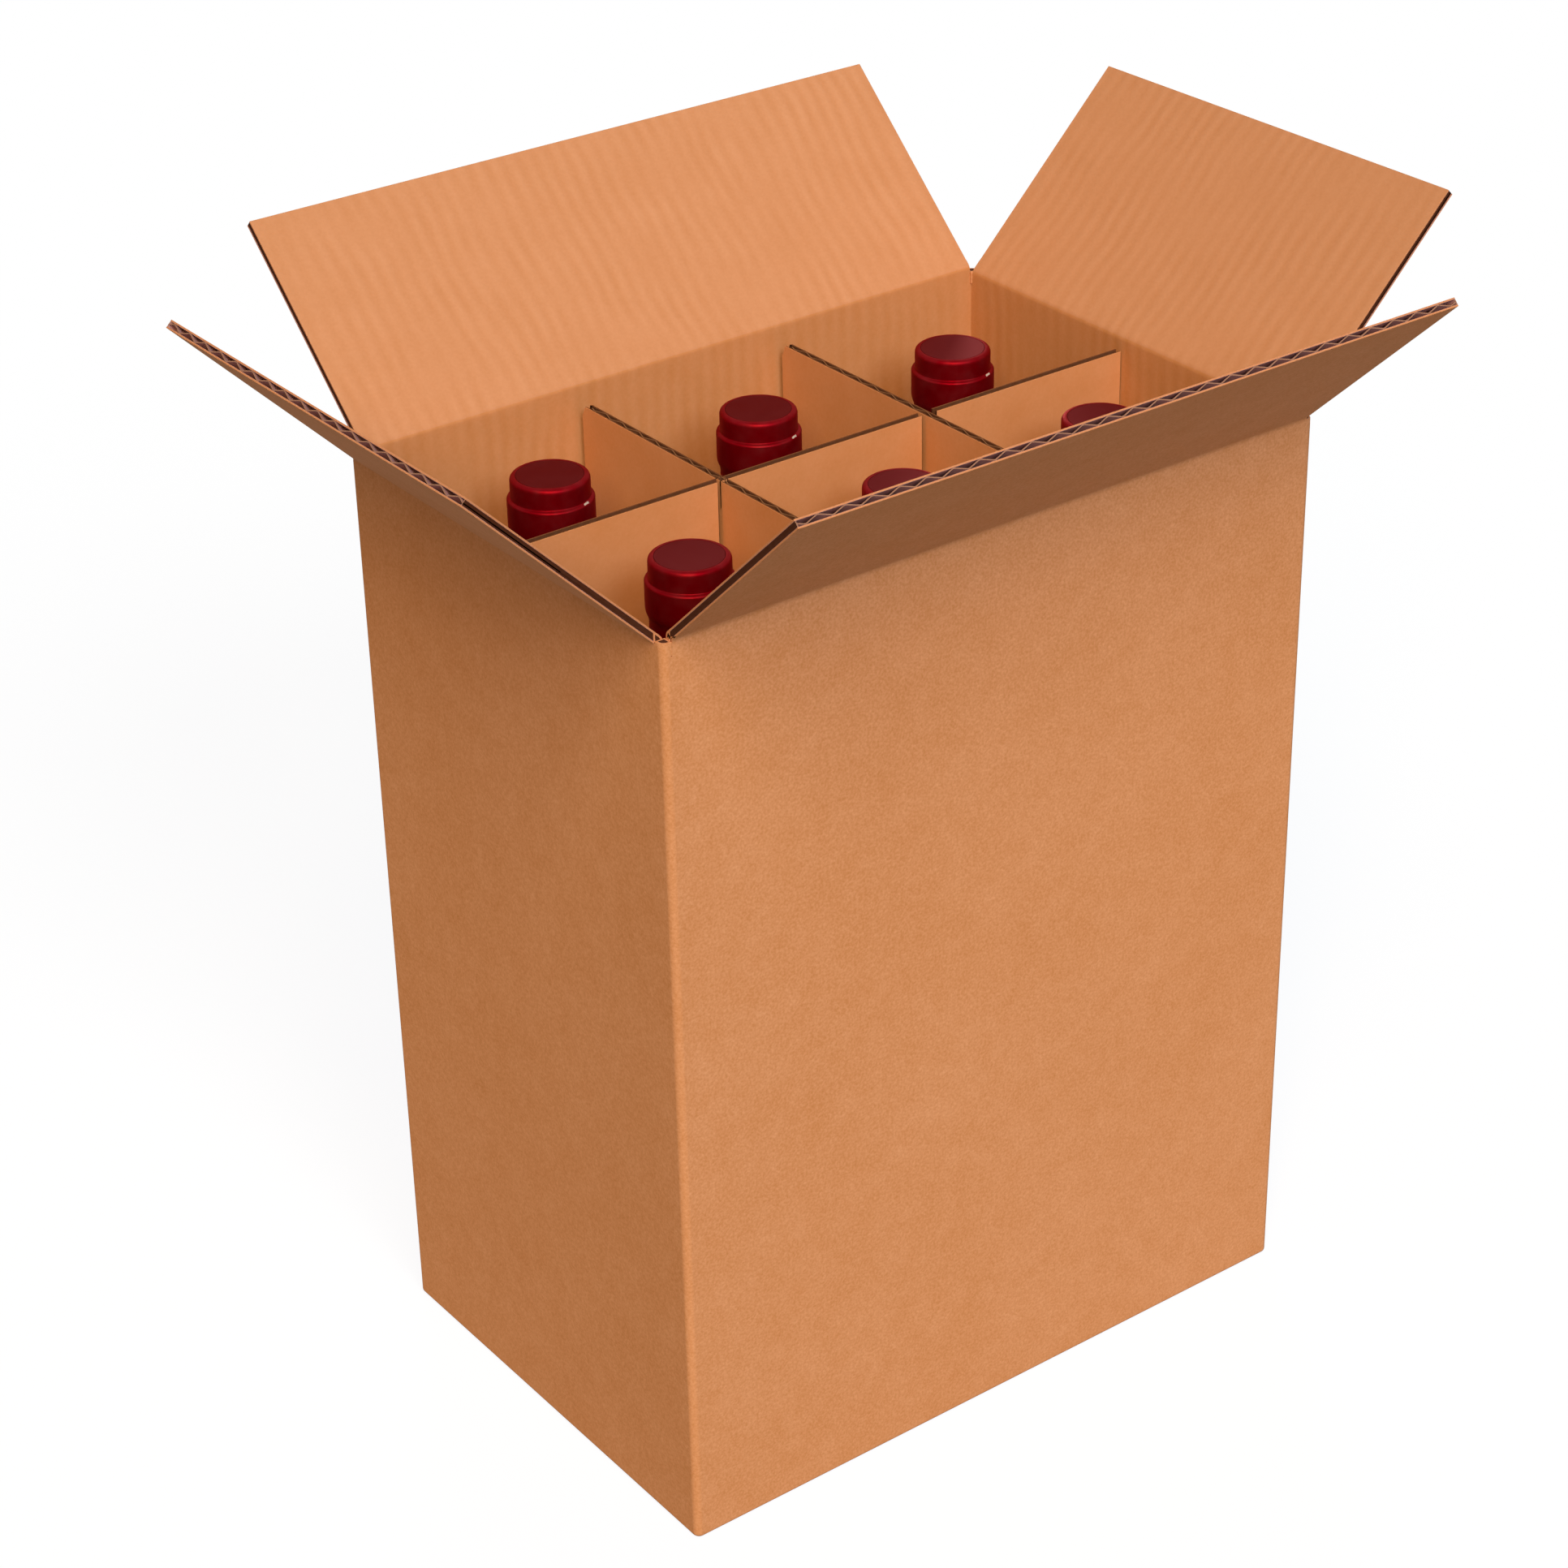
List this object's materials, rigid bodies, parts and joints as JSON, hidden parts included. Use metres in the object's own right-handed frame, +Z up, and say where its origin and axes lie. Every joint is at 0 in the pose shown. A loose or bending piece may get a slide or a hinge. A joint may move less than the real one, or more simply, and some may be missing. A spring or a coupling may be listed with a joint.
{
  "type": "bottle shipping box",
  "caption": "Open corrugated shipping carton with hinged top flaps, crossed dividers inside and sealed, capped bottles standing in the cells.",
  "frame": {"origin": "middle of the underside of the carton", "axes": "+X along the long walls, +Y from the front wall to the back wall, +Z up"},
  "size_m": [0.3838, 0.3002, 0.3984],
  "materials": {
    "carton_board": "matte",
    "divider_board": "matte",
    "bottle_glass": "gloss",
    "capsule_foil": "satin"
  },
  "bodies": {
    "carton": {"box_body": "carton_board", "long_divider": "divider_board", "cross_divider_left": "divider_board", "cross_divider_right": "divider_board", "bottle_front_left": "bottle_glass", "bottle_front_middle": "bottle_glass", "bottle_front_right": "bottle_glass", "bottle_back_left": "bottle_glass", "bottle_back_middle": "bottle_glass", "bottle_back_right": "bottle_glass", "capsule_front_left": "capsule_foil", "capsule_front_middle": "capsule_foil", "capsule_front_right": "capsule_foil", "capsule_back_left": "capsule_foil", "capsule_back_middle": "capsule_foil", "capsule_back_right": "capsule_foil"},
    "front_flap": {"flap_front": "carton_board"},
    "back_flap": {"flap_back": "carton_board"},
    "left_flap": {"flap_left": "carton_board"},
    "right_flap": {"flap_right": "carton_board"}
  },
  "joints": [
    {"name": "front_flap_fold", "type": "hinge", "parent": "carton", "child": "front_flap", "pos_m": [0, -0.0863, 0.3365], "axis": [1, 0, 0], "range_deg": [-137, 88]},
    {"name": "back_flap_fold", "type": "hinge", "parent": "carton", "child": "back_flap", "pos_m": [0, 0.0863, 0.3365], "axis": [-1, 0, 0], "range_deg": [-137, 88]},
    {"name": "left_flap_fold", "type": "hinge", "parent": "carton", "child": "left_flap", "pos_m": [-0.13, 0, 0.3344], "axis": [0, -1, 0], "range_deg": [-135, 90]},
    {"name": "right_flap_fold", "type": "hinge", "parent": "carton", "child": "right_flap", "pos_m": [0.13, 0, 0.3344], "axis": [0, 1, 0], "range_deg": [-135, 90]}
  ]
}
